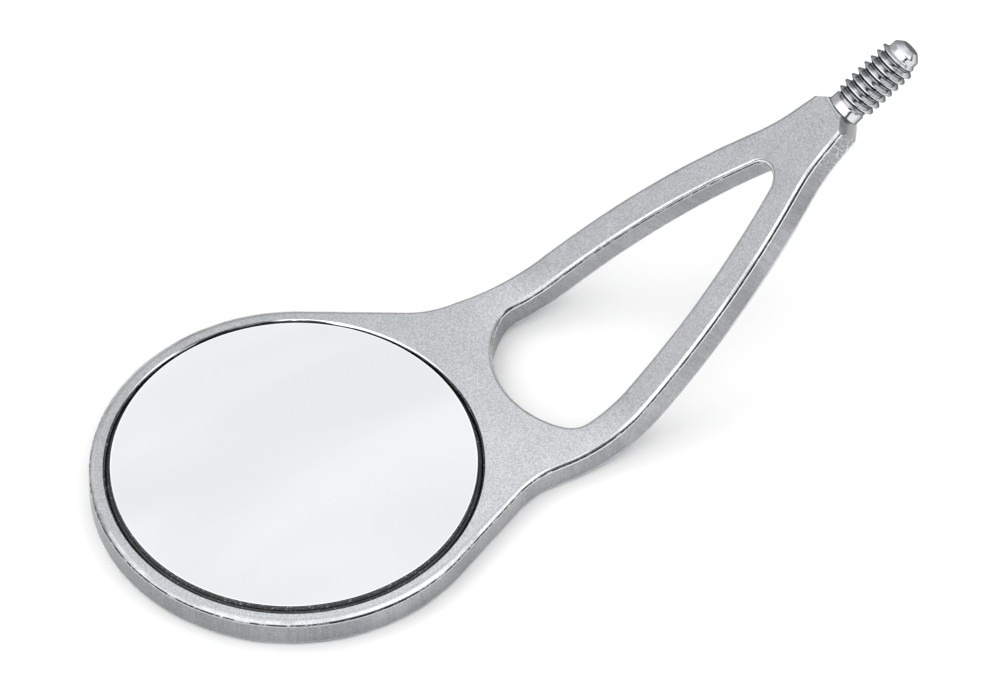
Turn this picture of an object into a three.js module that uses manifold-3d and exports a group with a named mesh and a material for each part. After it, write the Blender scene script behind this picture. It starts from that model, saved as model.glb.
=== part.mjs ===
// Screw-in mouth mirror head: a round front-surface mirror in a satin metal frame whose open,
// two-armed stem is bent up towards the mirror side and ends in a threaded stud.
// Millimetres, +Z up through the mirror face, +X along the stem.
// The origin is the centre of the frame's flat back face.

import * as THREE from "three";
import { mergeVertices } from "three/addons/utils/BufferGeometryUtils.js";
import Module from "manifold-3d";

const wasm = await Module();
wasm.setup();

// ---- Mirror insert --------------------------------------------------------------------------
const GLASS_RADIUS = 11; // a size 4 mirror glass is 22 mm across
const GLASS_THICKNESS = 1.3;
const GLASS_EDGE_BEVEL = 0.06; // ground arris round the front and the back
const COATING_THICKNESS = 0.05; // stands in for the vapour-coated film
const BOND_THICKNESS = 0.1;
const BOND_MARGIN = 0.6; // from the bond's edge to the glass edge
const MIRROR_PROUD = 0.2; // the mirror face above the frame's upper face
const SEAL_WIDTH = 0.24; // radial, from the glass edge to the recess wall
const SEAL_RECESS = 0.16; // the seal's surface below the rim
const SEAL_DISH = 0.05; // how far the middle of the seal's surface sags
const SEAL_HEIGHT = 0.8;
const CONTACT_GAP = 0.02; // left between pieces that touch

// ---- Frame plate ----------------------------------------------------------------------------
const PLATE_THICKNESS = 1.92;
const RIM_WIDTH = 1.01; // from the recess wall to the ring's outer edge
const MOUTH_CHAMFER = 0.18; // round the mouth of the recess
const EDGE_ROUNDING = 0.3;
const EDGE_STEPS = 3;

// ---- Open stem, laid out flat: x runs along the stem from the ring's centre ------------------
const SHOULDER_ANGLE = THREE.MathUtils.degToRad(61.6); // where the stem leaves the ring
const SHOULDER_FILLET = 5.8;
const ARM_BULGE_INSET = 0.95; // past the ring's edge, where the arms are furthest apart
const ARM_HALF_SPREAD = 7.22;
const ARM_WIDTH = 2.06;
const WINDOW_WEB = 1.65; // metal between the ring's edge and the window
const WINDOW_START_RADIUS = 6.3;
const WINDOW_CORNER_RADIUS = 1.6;
const WINDOW_TIP_RADIUS = 1.15;
const SHANK_END_X = 40.65;
const SHANK_LENGTH = 6.65; // from the foot of the arms' long curve to the shank's end
const SHANK_ROOT_HALF_WIDTH = 3.41;
const SHANK_END_HALF_WIDTH = 1.6;
const SHANK_TAPER = THREE.MathUtils.degToRad(9.6);
const SHANK_FILLET = 12;
const END_CONE_ANGLE = THREE.MathUtils.degToRad(45);

// ---- Bend of the stem, about a line across it ------------------------------------------------
const BEND_INSET = 1.05; // from the window's ring end to the start of the bend
const BEND_RADIUS = 8; // on the upper face
const BEND_ANGLE = THREE.MathUtils.degToRad(36.8);
const BEND_STEPS = 10;

// ---- Threaded stud --------------------------------------------------------------------------
const THREAD_RADIUS = 1.29;
const THREAD_PITCH = 0.529; // 48 turns to the inch
const THREAD_DEPTH = 0.605 * THREAD_PITCH;
const THREAD_TURNS = 8;
const THREAD_RUNOUT = 0.3; // length over which the ridge rises and fades
const NECK_INSET = 0.19; // the neck's surface inside the thread's crests
const NECK_LENGTH = 0.62;
const STUD_TIP_LENGTH = 0.71;
const STUD_TIP_CHAMFER = 0.38;
const SPIGOT_RADIUS = 0.6;
const SPIGOT_LENGTH = 3;
const SPIGOT_CHAMFER = 0.15;
const SPIGOT_CLEARANCE = 0.03;
const BORE_RUNOUT = 0.3; // drilled past the spigot's end

// ---- Fineness of the round surfaces ----------------------------------------------------------
const DISC_SEGMENTS = 96;
const STUD_SEGMENTS = 24;
const BORE_SEGMENTS = 24;
const CONE_SEGMENTS = 72;
const ARC_STEP = (2 * Math.PI) / DISC_SEGMENTS;
const LONG_ARC_STEP = 0.03; // for the shallow curves of the arms
const SMALL_ARC_STEP = 0.35; // for fillets and corners
const CUT_MARGIN = 1; // how far cutting bodies reach past what they cut
const BLANK_REACH = 60; // further than the blank goes from its origin
const WELD = 1e-4;
const JOIN_DISTANCE = 1e-3;
const MOST_SPLITS = 60;

const recessRadius = GLASS_RADIUS + SEAL_WIDTH;
const bondRadius = GLASS_RADIUS - BOND_MARGIN;
const ringRadius = recessRadius + RIM_WIDTH;
const coatingTop = PLATE_THICKNESS + MIRROR_PROUD;
const coatingBottom = coatingTop - COATING_THICKNESS;
const glassTop = coatingBottom - CONTACT_GAP;
const glassBottom = glassTop - GLASS_THICKNESS;
const bondTop = glassBottom - CONTACT_GAP;
const bondBottom = bondTop - BOND_THICKNESS;
const recessFloor = bondBottom - CONTACT_GAP;
const windowStartX = ringRadius + WINDOW_WEB;
const bendStartX = windowStartX + BEND_INSET;
const bendEndX = bendStartX + BEND_RADIUS * BEND_ANGLE;
const studAxisZ = PLATE_THICKNESS / 2;
const rootRadius = THREAD_RADIUS - THREAD_DEPTH;
const neckRadius = THREAD_RADIUS - NECK_INSET;
// The arms' long curve runs level where they are furthest apart and ends at the shank's root.
const armBulgeX = ringRadius + ARM_BULGE_INSET;
const armRun = SHANK_END_X - SHANK_LENGTH - armBulgeX;
const armDrop = ARM_HALF_SPREAD - SHANK_ROOT_HALF_WIDTH;
const armCurveRadius = (armRun * armRun + armDrop * armDrop) / (2 * armDrop);

// ---- Solids -----------------------------------------------------------------------------------

// One closed skin with shared corners; triangles that have shrunk to a line are dropped.
function weld(geometry) {
  const bare = geometry.index ? geometry.toNonIndexed() : geometry.clone();
  for (const name of Object.keys(bare.attributes)) {
    if (name !== "position") bare.deleteAttribute(name);
  }
  const merged = mergeVertices(bare, WELD);
  const corners = merged.index.array;
  const kept = [];
  for (let i = 0; i < corners.length; i += 3) {
    const [a, b, c] = corners.slice(i, i + 3);
    if (a !== b && b !== c && c !== a) kept.push(a, b, c);
  }
  merged.setIndex(kept);
  return merged;
}

function toSolid(geometry) {
  const welded = weld(geometry);
  const vertProperties = new Float32Array(welded.attributes.position.array);
  const triVerts = new Uint32Array(welded.index.array);
  return new wasm.Manifold(new wasm.Mesh({ numProp: 3, vertProperties, triVerts }));
}

function toGeometry(solid) {
  const mesh = solid.getMesh();
  const geometry = new THREE.BufferGeometry();
  const positions = new Float32Array(mesh.vertProperties);
  geometry.setAttribute("position", new THREE.BufferAttribute(positions, 3));
  geometry.setIndex([...mesh.triVerts]);
  return geometry;
}

// A body turned about +Z from [radius, height] pairs that run counter-clockwise.
function turned(profile, segments) {
  const points = profile.map(([radius, height]) => new THREE.Vector2(radius, height));
  const lathe = new THREE.LatheGeometry(points, segments);
  lathe.rotateX(Math.PI / 2);
  return lathe;
}

// The same, about the stud's axis in the flat blank: heights run along +X.
function turnedAlongStem(profile, segments) {
  const points = profile.map(([radius, along]) => new THREE.Vector2(radius, along));
  const lathe = new THREE.LatheGeometry(points, segments);
  lathe.rotateZ(-Math.PI / 2);
  lathe.translate(0, 0, studAxisZ);
  return lathe;
}

// ---- Outline of the flat blank ----------------------------------------------------------------

// Points on a circle from one angle to another, both ends included.
function arc(centre, radius, from, to, step) {
  const count = Math.max(2, Math.ceil(Math.abs(to - from) / step));
  const points = [];
  for (let i = 0; i <= count; i += 1) {
    const angle = from + ((to - from) * i) / count;
    const x = centre.x + radius * Math.cos(angle);
    const y = centre.y + radius * Math.sin(angle);
    points.push(new THREE.Vector2(x, y));
  }
  return points;
}

function direction(from, to) {
  return Math.atan2(to.y - from.y, to.x - from.x);
}

// Where two circles cross, on the side with the larger y.
function upperCrossing(centreA, radiusA, centreB, radiusB) {
  const gap = centreA.distanceTo(centreB);
  const along = (gap * gap + radiusA * radiusA - radiusB * radiusB) / (2 * gap);
  const aside = Math.sqrt(radiusA * radiusA - along * along);
  const unit = centreB.clone().sub(centreA).normalize();
  const base = centreA.clone().addScaledVector(unit, along);
  const normal = new THREE.Vector2(-unit.y, unit.x);
  if (normal.y < 0) normal.negate();
  return base.addScaledVector(normal, aside);
}

// Where a straight line meets a circle, furthest along the line's direction.
function lineMeetsCircle(point, heading, centre, radius) {
  const unit = new THREE.Vector2(Math.cos(heading), Math.sin(heading));
  const toPoint = point.clone().sub(centre);
  const half = toPoint.dot(unit);
  const root = Math.sqrt(half * half - toPoint.lengthSq() + radius * radius);
  return point.clone().addScaledVector(unit, root - half);
}

const ringCentre = new THREE.Vector2(0, 0);
const armCentre = new THREE.Vector2(armBulgeX, ARM_HALF_SPREAD - armCurveRadius);

// The blank's outer edge on the +Y side, from the shank's end round to the back of the ring.
function upperOuterEdge() {
  // The shank's straight side widens towards the ring; its fillet lies outside it.
  const sideHeading = Math.PI - SHANK_TAPER;
  const shankEnd = new THREE.Vector2(SHANK_END_X, SHANK_END_HALF_WIDTH);
  const outward = new THREE.Vector2(Math.sin(SHANK_TAPER), Math.cos(SHANK_TAPER));
  const shankLine = shankEnd.clone().addScaledVector(outward, SHANK_FILLET);
  const shankFilletCentre = lineMeetsCircle(
    shankLine,
    -SHANK_TAPER,
    armCentre,
    armCurveRadius + SHANK_FILLET,
  );
  const shankFillet = arc(
    shankFilletCentre,
    SHANK_FILLET,
    sideHeading + Math.PI / 2,
    direction(shankFilletCentre, armCentre) + 2 * Math.PI,
    SMALL_ARC_STEP / 4,
  );

  // The shoulder leaves the ring along its tangent and turns into the arm's long curve.
  const shoulderStart = new THREE.Vector2(
    ringRadius * Math.cos(SHOULDER_ANGLE),
    ringRadius * Math.sin(SHOULDER_ANGLE),
  );
  const shoulderLine = shoulderStart
    .clone()
    .multiplyScalar((ringRadius + SHOULDER_FILLET) / ringRadius);
  const shoulderCentre = lineMeetsCircle(
    shoulderLine,
    SHOULDER_ANGLE + Math.PI / 2,
    armCentre,
    armCurveRadius + SHOULDER_FILLET,
  );
  const armCurve = arc(
    armCentre,
    armCurveRadius,
    direction(armCentre, shankFilletCentre),
    direction(armCentre, shoulderCentre),
    LONG_ARC_STEP,
  );
  const shoulderFillet = arc(
    shoulderCentre,
    SHOULDER_FILLET,
    direction(shoulderCentre, armCentre),
    SHOULDER_ANGLE - Math.PI,
    SMALL_ARC_STEP / 3,
  );
  const halfRing = arc(ringCentre, ringRadius, SHOULDER_ANGLE, Math.PI, ARC_STEP);
  return [
    shankEnd,
    ...shankFillet,
    ...armCurve.slice(1),
    ...shoulderFillet.slice(1),
    ...halfRing,
  ];
}

// The window's edge on the +Y side, from its rounded tip to the middle of its ring end.
function upperWindowEdge() {
  const sideRadius = armCurveRadius - ARM_WIDTH;
  const tipReach = sideRadius - WINDOW_TIP_RADIUS;
  const tipX = armCentre.x + Math.sqrt(tipReach * tipReach - armCentre.y * armCentre.y);
  const tipCentre = new THREE.Vector2(tipX, 0);
  const startCentre = new THREE.Vector2(windowStartX + WINDOW_START_RADIUS, 0);
  const cornerCentre = upperCrossing(
    startCentre,
    WINDOW_START_RADIUS - WINDOW_CORNER_RADIUS,
    armCentre,
    sideRadius - WINDOW_CORNER_RADIUS,
  );
  const sideFrom = direction(armCentre, tipCentre);
  const sideTo = direction(armCentre, cornerCentre);
  const cornerTo = direction(startCentre, cornerCentre);
  const tip = arc(tipCentre, WINDOW_TIP_RADIUS, 0, sideFrom, SMALL_ARC_STEP);
  const side = arc(armCentre, sideRadius, sideFrom, sideTo, LONG_ARC_STEP);
  const corner = arc(cornerCentre, WINDOW_CORNER_RADIUS, sideTo, cornerTo, SMALL_ARC_STEP);
  const start = arc(startCentre, WINDOW_START_RADIUS, cornerTo, Math.PI, SMALL_ARC_STEP / 3);
  return [...tip, ...side.slice(1), ...corner.slice(1), ...start.slice(1)];
}

// A half edge and its mirror image in the stem's middle plane, as one closed loop.
function bothSides(upper) {
  const lower = upper
    .filter((point) => Math.abs(point.y) > WELD)
    .map((point) => new THREE.Vector2(point.x, -point.y))
    .reverse();
  return [...upper, ...lower];
}

// ---- Frame ------------------------------------------------------------------------------------

// The plate with every edge rounded, still flat.
function flatPlate() {
  const outline = new THREE.Shape(bothSides(upperOuterEdge()));
  outline.holes.push(new THREE.Path(bothSides(upperWindowEdge()).reverse()));
  const plate = new THREE.ExtrudeGeometry(outline, {
    depth: PLATE_THICKNESS - 2 * EDGE_ROUNDING,
    bevelEnabled: true,
    bevelThickness: EDGE_ROUNDING,
    bevelSize: EDGE_ROUNDING,
    bevelOffset: -EDGE_ROUNDING,
    bevelSegments: EDGE_STEPS,
  });
  plate.translate(0, 0, EDGE_ROUNDING);
  return plate;
}

// The pocket for the mirror, with a chamfered mouth.
function recessCutter() {
  const mouthRadius = recessRadius + MOUTH_CHAMFER;
  return turned(
    [
      [0, recessFloor],
      [recessRadius, recessFloor],
      [recessRadius, PLATE_THICKNESS - MOUTH_CHAMFER],
      [mouthRadius + CUT_MARGIN, PLATE_THICKNESS + CUT_MARGIN],
      [0, PLATE_THICKNESS + CUT_MARGIN],
    ],
    DISC_SEGMENTS,
  );
}

// Everything outside the cone that is turned on the shank's end, round the stud's axis.
function coneCutter() {
  const reach = SHANK_END_HALF_WIDTH + CUT_MARGIN;
  const slope = Math.tan(END_CONE_ANGLE);
  return turnedAlongStem(
    [
      [neckRadius, SHANK_END_X],
      [neckRadius, SHANK_END_X + CUT_MARGIN],
      [neckRadius + reach, SHANK_END_X + CUT_MARGIN],
      [neckRadius + reach, SHANK_END_X - reach / slope],
      [neckRadius, SHANK_END_X],
    ].reverse(),
    CONE_SEGMENTS,
  );
}

// The blind bore that holds the stud's spigot.
function boreCutter() {
  const radius = SPIGOT_RADIUS + SPIGOT_CLEARANCE;
  const bottom = SHANK_END_X - SPIGOT_LENGTH - BORE_RUNOUT;
  return turnedAlongStem(
    [
      [0, bottom - radius / 2],
      [radius, bottom],
      [radius, SHANK_END_X + CUT_MARGIN],
      [0, SHANK_END_X + CUT_MARGIN],
    ],
    BORE_SEGMENTS,
  );
}

// Moves a point of the flat blank to its place on the bent stem.
function bend(point) {
  const radius = BEND_RADIUS + PLATE_THICKNESS - point.z;
  const run = THREE.MathUtils.clamp(point.x - bendStartX, 0, bendEndX - bendStartX);
  const angle = run / BEND_RADIUS;
  if (angle === 0) return;
  const beyond = Math.max(0, point.x - bendEndX);
  point.x = bendStartX + radius * Math.sin(angle) + beyond * Math.cos(angle);
  point.z = BEND_RADIUS + PLATE_THICKNESS - radius * Math.cos(angle) + beyond * Math.sin(angle);
}

// A strip's triangles, without the faces where it was cut from its neighbours.
function skinOf(strip, cuts) {
  const position = toGeometry(strip).toNonIndexed().attributes.position;
  const triangles = [];
  for (let i = 0; i < position.count; i += 3) {
    const corners = [0, 1, 2].map((k) => new THREE.Vector3().fromBufferAttribute(position, i + k));
    const onCut = (cut) => corners.every((corner) => Math.abs(corner.x - cut) < WELD);
    if (!cuts.some(onCut)) triangles.push(corners);
  }
  return triangles;
}

// Where a strip has a point partway along its neighbour's edge, the neighbour is split there.
function closeSeams(geometry) {
  const position = geometry.attributes.position;
  const at = (i) => new THREE.Vector3().fromBufferAttribute(position, i);
  const corners = [...geometry.index.array];
  const next = (side) => (side % 3 === 2 ? side - 2 : side + 1);
  for (let round = 0; round < MOST_SPLITS; round += 1) {
    const sides = new Map(corners.map((a, side) => [`${a},${corners[next(side)]}`, side]));
    const unmatched = [...sides.values()].filter(
      (side) => !sides.has(`${corners[next(side)]},${corners[side]}`),
    );
    for (const side of unmatched) {
      const a = corners[side];
      const b = corners[next(side)];
      const line = new THREE.Line3(at(a), at(b));
      const inside = unmatched
        .map((other) => corners[other])
        .find((c) => {
          const nearest = line.closestPointToPoint(at(c), true, new THREE.Vector3());
          return c !== a && c !== b && nearest.distanceTo(at(c)) < JOIN_DISTANCE;
        });
      if (inside === undefined) continue;
      corners.push(inside, b, corners[next(next(side))]);
      corners[next(side)] = inside;
      break;
    }
  }
  geometry.setIndex(corners);
  return geometry;
}

// The blank is bent strip by strip, and the strips share their points along every bend line.
function bentGeometry(blank) {
  const cuts = [];
  for (let i = 0; i <= BEND_STEPS; i += 1) {
    cuts.push(bendStartX + ((bendEndX - bendStartX) * i) / BEND_STEPS);
  }
  const strips = [];
  let rest = blank;
  for (const cut of cuts) {
    const box = new THREE.BoxGeometry(2 * BLANK_REACH, BLANK_REACH, BLANK_REACH);
    box.translate(cut - BLANK_REACH, 0, 0);
    const before = toSolid(box);
    strips.push(rest.intersect(before));
    rest = rest.subtract(before);
  }
  strips.push(rest);

  const points = [];
  let shared = [];
  strips.forEach((strip, i) => {
    const nextShared = [];
    for (const corner of skinOf(strip, cuts).flat()) {
      const partner = shared.find((point) => point.distanceTo(corner) < JOIN_DISTANCE);
      if (partner) corner.copy(partner);
      if (Math.abs(corner.x - cuts[i]) < WELD) nextShared.push(corner.clone());
      points.push(corner);
    }
    shared = nextShared;
  });
  points.forEach(bend);
  return closeSeams(weld(new THREE.BufferGeometry().setFromPoints(points)));
}

function frameGeometry() {
  const blank = toSolid(flatPlate())
    .subtract(toSolid(recessCutter()))
    .subtract(toSolid(coneCutter()))
    .subtract(toSolid(boreCutter()));
  return bentGeometry(blank);
}

// ---- Mirror, bond and seal --------------------------------------------------------------------

function bondGeometry() {
  return turned(
    [
      [0, bondBottom],
      [bondRadius, bondBottom],
      [bondRadius, bondTop],
      [0, bondTop],
    ],
    DISC_SEGMENTS,
  );
}

function glassGeometry() {
  const flatRadius = GLASS_RADIUS - GLASS_EDGE_BEVEL;
  return turned(
    [
      [0, glassBottom],
      [flatRadius, glassBottom],
      [GLASS_RADIUS, glassBottom + GLASS_EDGE_BEVEL],
      [GLASS_RADIUS, glassTop - GLASS_EDGE_BEVEL],
      [flatRadius, glassTop],
      [0, glassTop],
    ],
    DISC_SEGMENTS,
  );
}

function coatingGeometry() {
  const radius = GLASS_RADIUS - GLASS_EDGE_BEVEL;
  return turned(
    [
      [0, coatingBottom],
      [radius, coatingBottom],
      [radius, coatingTop],
      [0, coatingTop],
    ],
    DISC_SEGMENTS,
  );
}

// A ring of compound between the glass edge and the recess wall, with a dished surface.
function sealGeometry() {
  const inner = GLASS_RADIUS + CONTACT_GAP;
  const outer = recessRadius - CONTACT_GAP;
  const top = PLATE_THICKNESS - SEAL_RECESS - MOUTH_CHAMFER / 2;
  const bottom = top - SEAL_HEIGHT;
  return turned(
    [
      [inner, bottom],
      [outer, bottom],
      [outer, top],
      [(inner + outer) / 2, top - SEAL_DISH],
      [inner, top],
      [inner, bottom],
    ],
    DISC_SEGMENTS,
  );
}

// ---- Stud -------------------------------------------------------------------------------------

// A turned stud whose thread points climb one pitch in each turn round the axis.
function studGeometry() {
  const neckStart = SHANK_END_X + CONTACT_GAP;
  const threadStart = neckStart + NECK_LENGTH;
  const threadEnd = threadStart + THREAD_TURNS * THREAD_PITCH;
  const tipEnd = threadEnd + STUD_TIP_LENGTH;
  const spigotStart = SHANK_END_X - SPIGOT_LENGTH;
  const tipRadius = rootRadius - STUD_TIP_CHAMFER;

  const before = [
    [0, spigotStart],
    [SPIGOT_RADIUS - SPIGOT_CHAMFER, spigotStart],
    [SPIGOT_RADIUS, spigotStart + SPIGOT_CHAMFER],
    [SPIGOT_RADIUS, neckStart],
    [neckRadius, neckStart],
    [neckRadius, threadStart - (neckRadius - rootRadius)],
    [rootRadius, threadStart],
  ];
  // One pitch: a root flat, a flank up, a crest flat and a flank down.
  const ridge = [
    [rootRadius, 0],
    [rootRadius, 1 / 8],
    [THREAD_RADIUS, 1 / 2],
    [THREAD_RADIUS, 5 / 8],
  ];
  const thread = [];
  for (let turn = -1; turn <= THREAD_TURNS; turn += 1) {
    for (const [radius, share] of ridge) {
      thread.push([radius, threadStart + (turn + share) * THREAD_PITCH]);
    }
  }
  const after = [
    [rootRadius, threadEnd],
    [rootRadius, tipEnd - STUD_TIP_CHAMFER],
    [tipRadius, tipEnd],
    [0, tipEnd],
  ];

  const profile = [...before, ...thread, ...after];
  const points = profile.map(([radius, along]) => new THREE.Vector2(radius, along));
  const lathe = new THREE.LatheGeometry(points, STUD_SEGMENTS);
  const position = lathe.attributes.position;
  for (let column = 0; column <= STUD_SEGMENTS; column += 1) {
    const share = column / STUD_SEGMENTS;
    const angle = 2 * Math.PI * (column % STUD_SEGMENTS === 0 ? 0 : share);
    for (let row = before.length; row < before.length + thread.length; row += 1) {
      const [radius, along] = profile[row];
      const climbed = along + share * THREAD_PITCH;
      const inside = Math.min(climbed - threadStart, threadEnd - climbed);
      const rise = THREE.MathUtils.clamp(inside / THREAD_RUNOUT, 0, 1);
      const height = THREE.MathUtils.clamp(climbed, threadStart, threadEnd);
      const reach = rootRadius + (radius - rootRadius) * rise;
      const index = column * profile.length + row;
      position.setXYZ(index, reach * Math.sin(angle), height, reach * Math.cos(angle));
    }
  }
  lathe.rotateZ(-Math.PI / 2);
  lathe.translate(0, 0, studAxisZ);
  return weld(lathe);
}

// ---- Assembly ---------------------------------------------------------------------------------

const finish = (color, roughness, metalness) =>
  new THREE.MeshStandardMaterial({ color, roughness, metalness });

const satinMetal = finish(0xb9babd, 0.42, 1);
const brightMetal = finish(0xd2d3d6, 0.14, 1);
const mirrorFilm = finish(0xf2f4f6, 0.02, 1);
const plainGlass = finish(0xcfdcd8, 0.08, 0);
const darkSeal = finish(0x2a2c2f, 0.35, 0);
const bond = finish(0xbdb9a8, 0.6, 0);

function piece(name, geometry, material) {
  const mesh = new THREE.Mesh(geometry, material);
  mesh.name = name;
  return mesh;
}

const head = new THREE.Group();
head.add(piece("mirror_frame", frameGeometry(), satinMetal));
head.add(piece("bond_layer", bondGeometry(), bond));
head.add(piece("mirror_glass", glassGeometry(), plainGlass));
head.add(piece("reflective_coating", coatingGeometry(), mirrorFilm));
head.add(piece("edge_seal", sealGeometry(), darkSeal));

// The straight end of the stem keeps the flat blank's coordinates, turned up by the bend.
const stemEnd = new THREE.Group();
const bendCentreZ = BEND_RADIUS + PLATE_THICKNESS;
const hinge = new THREE.Vector3(-bendEndX, 0, -bendCentreZ);
hinge.applyAxisAngle(new THREE.Vector3(0, 1, 0), -BEND_ANGLE);
stemEnd.position.set(bendStartX + hinge.x, 0, bendCentreZ + hinge.z);
stemEnd.rotation.y = -BEND_ANGLE;
stemEnd.add(piece("threaded_stud", studGeometry(), brightMetal));
head.add(stemEnd);

export default head;
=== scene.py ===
import math

import bmesh
import bpy
from mathutils import Matrix, Vector


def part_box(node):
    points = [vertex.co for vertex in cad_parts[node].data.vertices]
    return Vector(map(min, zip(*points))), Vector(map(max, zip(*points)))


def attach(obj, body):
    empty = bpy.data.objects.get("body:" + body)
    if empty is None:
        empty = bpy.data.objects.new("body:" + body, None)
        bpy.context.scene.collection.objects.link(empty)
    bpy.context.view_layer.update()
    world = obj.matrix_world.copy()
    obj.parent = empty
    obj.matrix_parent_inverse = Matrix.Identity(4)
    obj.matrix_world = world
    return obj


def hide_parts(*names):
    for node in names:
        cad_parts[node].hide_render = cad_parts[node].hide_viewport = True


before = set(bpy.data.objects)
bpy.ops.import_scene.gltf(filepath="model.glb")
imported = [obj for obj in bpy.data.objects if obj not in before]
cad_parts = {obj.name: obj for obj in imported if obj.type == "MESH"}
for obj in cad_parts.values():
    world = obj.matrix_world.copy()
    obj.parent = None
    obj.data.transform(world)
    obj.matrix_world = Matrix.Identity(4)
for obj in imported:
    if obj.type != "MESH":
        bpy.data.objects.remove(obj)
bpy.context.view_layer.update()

MM = 0.001

# ---- Sizes of the head, in millimetres -----------------------------------------------
PLATE = 1.92
EDGE_ROUND = 0.3
CROWN = 1.6  # how much wider than high the rounding of the ring's upper edge is
CROWN_FULL_X = 3.0
CROWN_END_X = 9.0
MOUTH_CHAMFER = 0.18
SEAL_WIDTH = 0.24
SEAL_RECESS = 0.16
SEAL_DISH = 0.05
RIM_WIDTH = 1.01
GAP = 0.02

SHOULDER_ANGLE = math.radians(61.6)
SHOULDER_FILLET = 5.8
BULGE_INSET = 0.95
HALF_SPREAD = 7.22
ARM_WIDTH = 2.06
WEB = 1.65
START_RADIUS = 6.3
CORNER_RADIUS = 1.6
TIP_RADIUS = 1.15
SHANK_END = 40.65
SHANK_LENGTH = 6.65
SHANK_ROOT_HALF = 3.41
SHANK_END_HALF = 1.6
SHANK_TAPER = math.radians(9.6)
SHANK_FILLET = 12.0

BEND_INSET = 1.05
BEND_RADIUS = 8.0
BEND_ANGLE = math.radians(36.8)

THREAD_RADIUS = 1.29
PITCH = 0.529
THREAD_DEPTH = 0.605 * PITCH
TURNS = 8
RUNOUT = 0.3
NECK_RADIUS = 1.10
NECK_LENGTH = 0.62
NECK_FILLET = 0.03
NECK_SINK = 0.02  # the neck starts inside the cone, so no gap shows
TIP_LENGTH = 0.71
TIP_CHAMFER = 0.38
SPIGOT_RADIUS = 0.6
SPIGOT_LENGTH = 3.0
BORE_CLEARANCE = 0.03
BORE_RUNOUT = 0.3
SPIGOT_CHAMFER = 0.15

glass_low, glass_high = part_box("mirror_glass")
coat_low, coat_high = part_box("reflective_coating")
GLASS_RADIUS = round(glass_high.x / MM, 3)
GLASS_BEVEL = 0.03
FILM_ROUND = 0.01
FACE_Z = coat_high.z / MM
GLASS_TOP = glass_high.z / MM
GLASS_BOTTOM = glass_low.z / MM
RECESS_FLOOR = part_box("bond_layer")[0].z / MM - GAP

RECESS_RADIUS = GLASS_RADIUS + SEAL_WIDTH
RING_RADIUS = RECESS_RADIUS + RIM_WIDTH
WINDOW_START = RING_RADIUS + WEB
BEND_START = WINDOW_START + BEND_INSET
BEND_END = BEND_START + BEND_RADIUS * BEND_ANGLE
AXIS_Z = PLATE / 2
ROOT_RADIUS = THREAD_RADIUS - THREAD_DEPTH

BULGE_X = RING_RADIUS + BULGE_INSET
arm_run = SHANK_END - SHANK_LENGTH - BULGE_X
arm_drop = HALF_SPREAD - SHANK_ROOT_HALF
ARM_RADIUS = (arm_run**2 + arm_drop**2) / (2 * arm_drop)

# ---- Fineness of the surfaces --------------------------------------------------------
RING_STEP = math.radians(1.25)
ARM_STEP = math.radians(0.6)
SMALL_STEP = math.radians(5)
ROUND_STEPS = 7
BEND_CUTS = 30
DISC_SEGMENTS = 288
STUD_SEGMENTS = 128
ROWS_PER_PITCH = 26
BORE_SEGMENTS = 48
FILLET_ROWS = 5
CHAMFER_ROWS = 8
SEAL_ROWS = 8
TINY = 1e-6
MERGE = 1e-5

# Kinds of face on the frame, which are also its material slots.
TOP, EDGE, WALL, MOUTH, POCKET, CONE = range(6)


# ---- Outline of the flat blank -------------------------------------------------------
def arc(centre, radius, start, end, step):
    count = max(2, math.ceil(abs(end - start) / step))
    points = []
    for i in range(count + 1):
        angle = start + (end - start) * i / count
        points.append(centre + Vector((math.cos(angle), math.sin(angle))) * radius)
    return points


def heading(a, b):
    return math.atan2(b.y - a.y, b.x - a.x)


def upper_crossing(centre_a, radius_a, centre_b, radius_b):
    gap = (centre_b - centre_a).length
    along = (gap * gap + radius_a**2 - radius_b**2) / (2 * gap)
    aside = math.sqrt(radius_a**2 - along * along)
    unit = (centre_b - centre_a) / gap
    normal = Vector((-unit.y, unit.x))
    if normal.y < 0:
        normal.negate()
    return centre_a + unit * along + normal * aside


def line_meets_circle(point, angle, centre, radius):
    unit = Vector((math.cos(angle), math.sin(angle)))
    half = (point - centre).dot(unit)
    reach = math.sqrt(half * half - (point - centre).length_squared + radius**2)
    return point + unit * (reach - half)


RING_CENTRE = Vector((0.0, 0.0))
ARM_CENTRE = Vector((BULGE_X, HALF_SPREAD - ARM_RADIUS))


def outer_half():
    end = Vector((SHANK_END, SHANK_END_HALF))
    outward = Vector((math.sin(SHANK_TAPER), math.cos(SHANK_TAPER)))
    shank_centre = line_meets_circle(
        end + outward * SHANK_FILLET,
        -SHANK_TAPER,
        ARM_CENTRE,
        ARM_RADIUS + SHANK_FILLET,
    )
    shank = arc(
        shank_centre,
        SHANK_FILLET,
        math.pi - SHANK_TAPER + math.pi / 2,
        heading(shank_centre, ARM_CENTRE) + 2 * math.pi,
        SMALL_STEP / 2,
    )
    radial = Vector((math.cos(SHOULDER_ANGLE), math.sin(SHOULDER_ANGLE)))
    shoulder_centre = line_meets_circle(
        radial * (RING_RADIUS + SHOULDER_FILLET),
        SHOULDER_ANGLE + math.pi / 2,
        ARM_CENTRE,
        ARM_RADIUS + SHOULDER_FILLET,
    )
    arm = arc(
        ARM_CENTRE,
        ARM_RADIUS,
        heading(ARM_CENTRE, shank_centre),
        heading(ARM_CENTRE, shoulder_centre),
        ARM_STEP,
    )
    shoulder = arc(
        shoulder_centre,
        SHOULDER_FILLET,
        heading(shoulder_centre, ARM_CENTRE),
        SHOULDER_ANGLE - math.pi,
        SMALL_STEP / 2,
    )
    ring = arc(RING_CENTRE, RING_RADIUS, SHOULDER_ANGLE, math.pi, RING_STEP)
    return [end] + shank + arm[1:] + shoulder[1:] + ring[1:]


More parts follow.
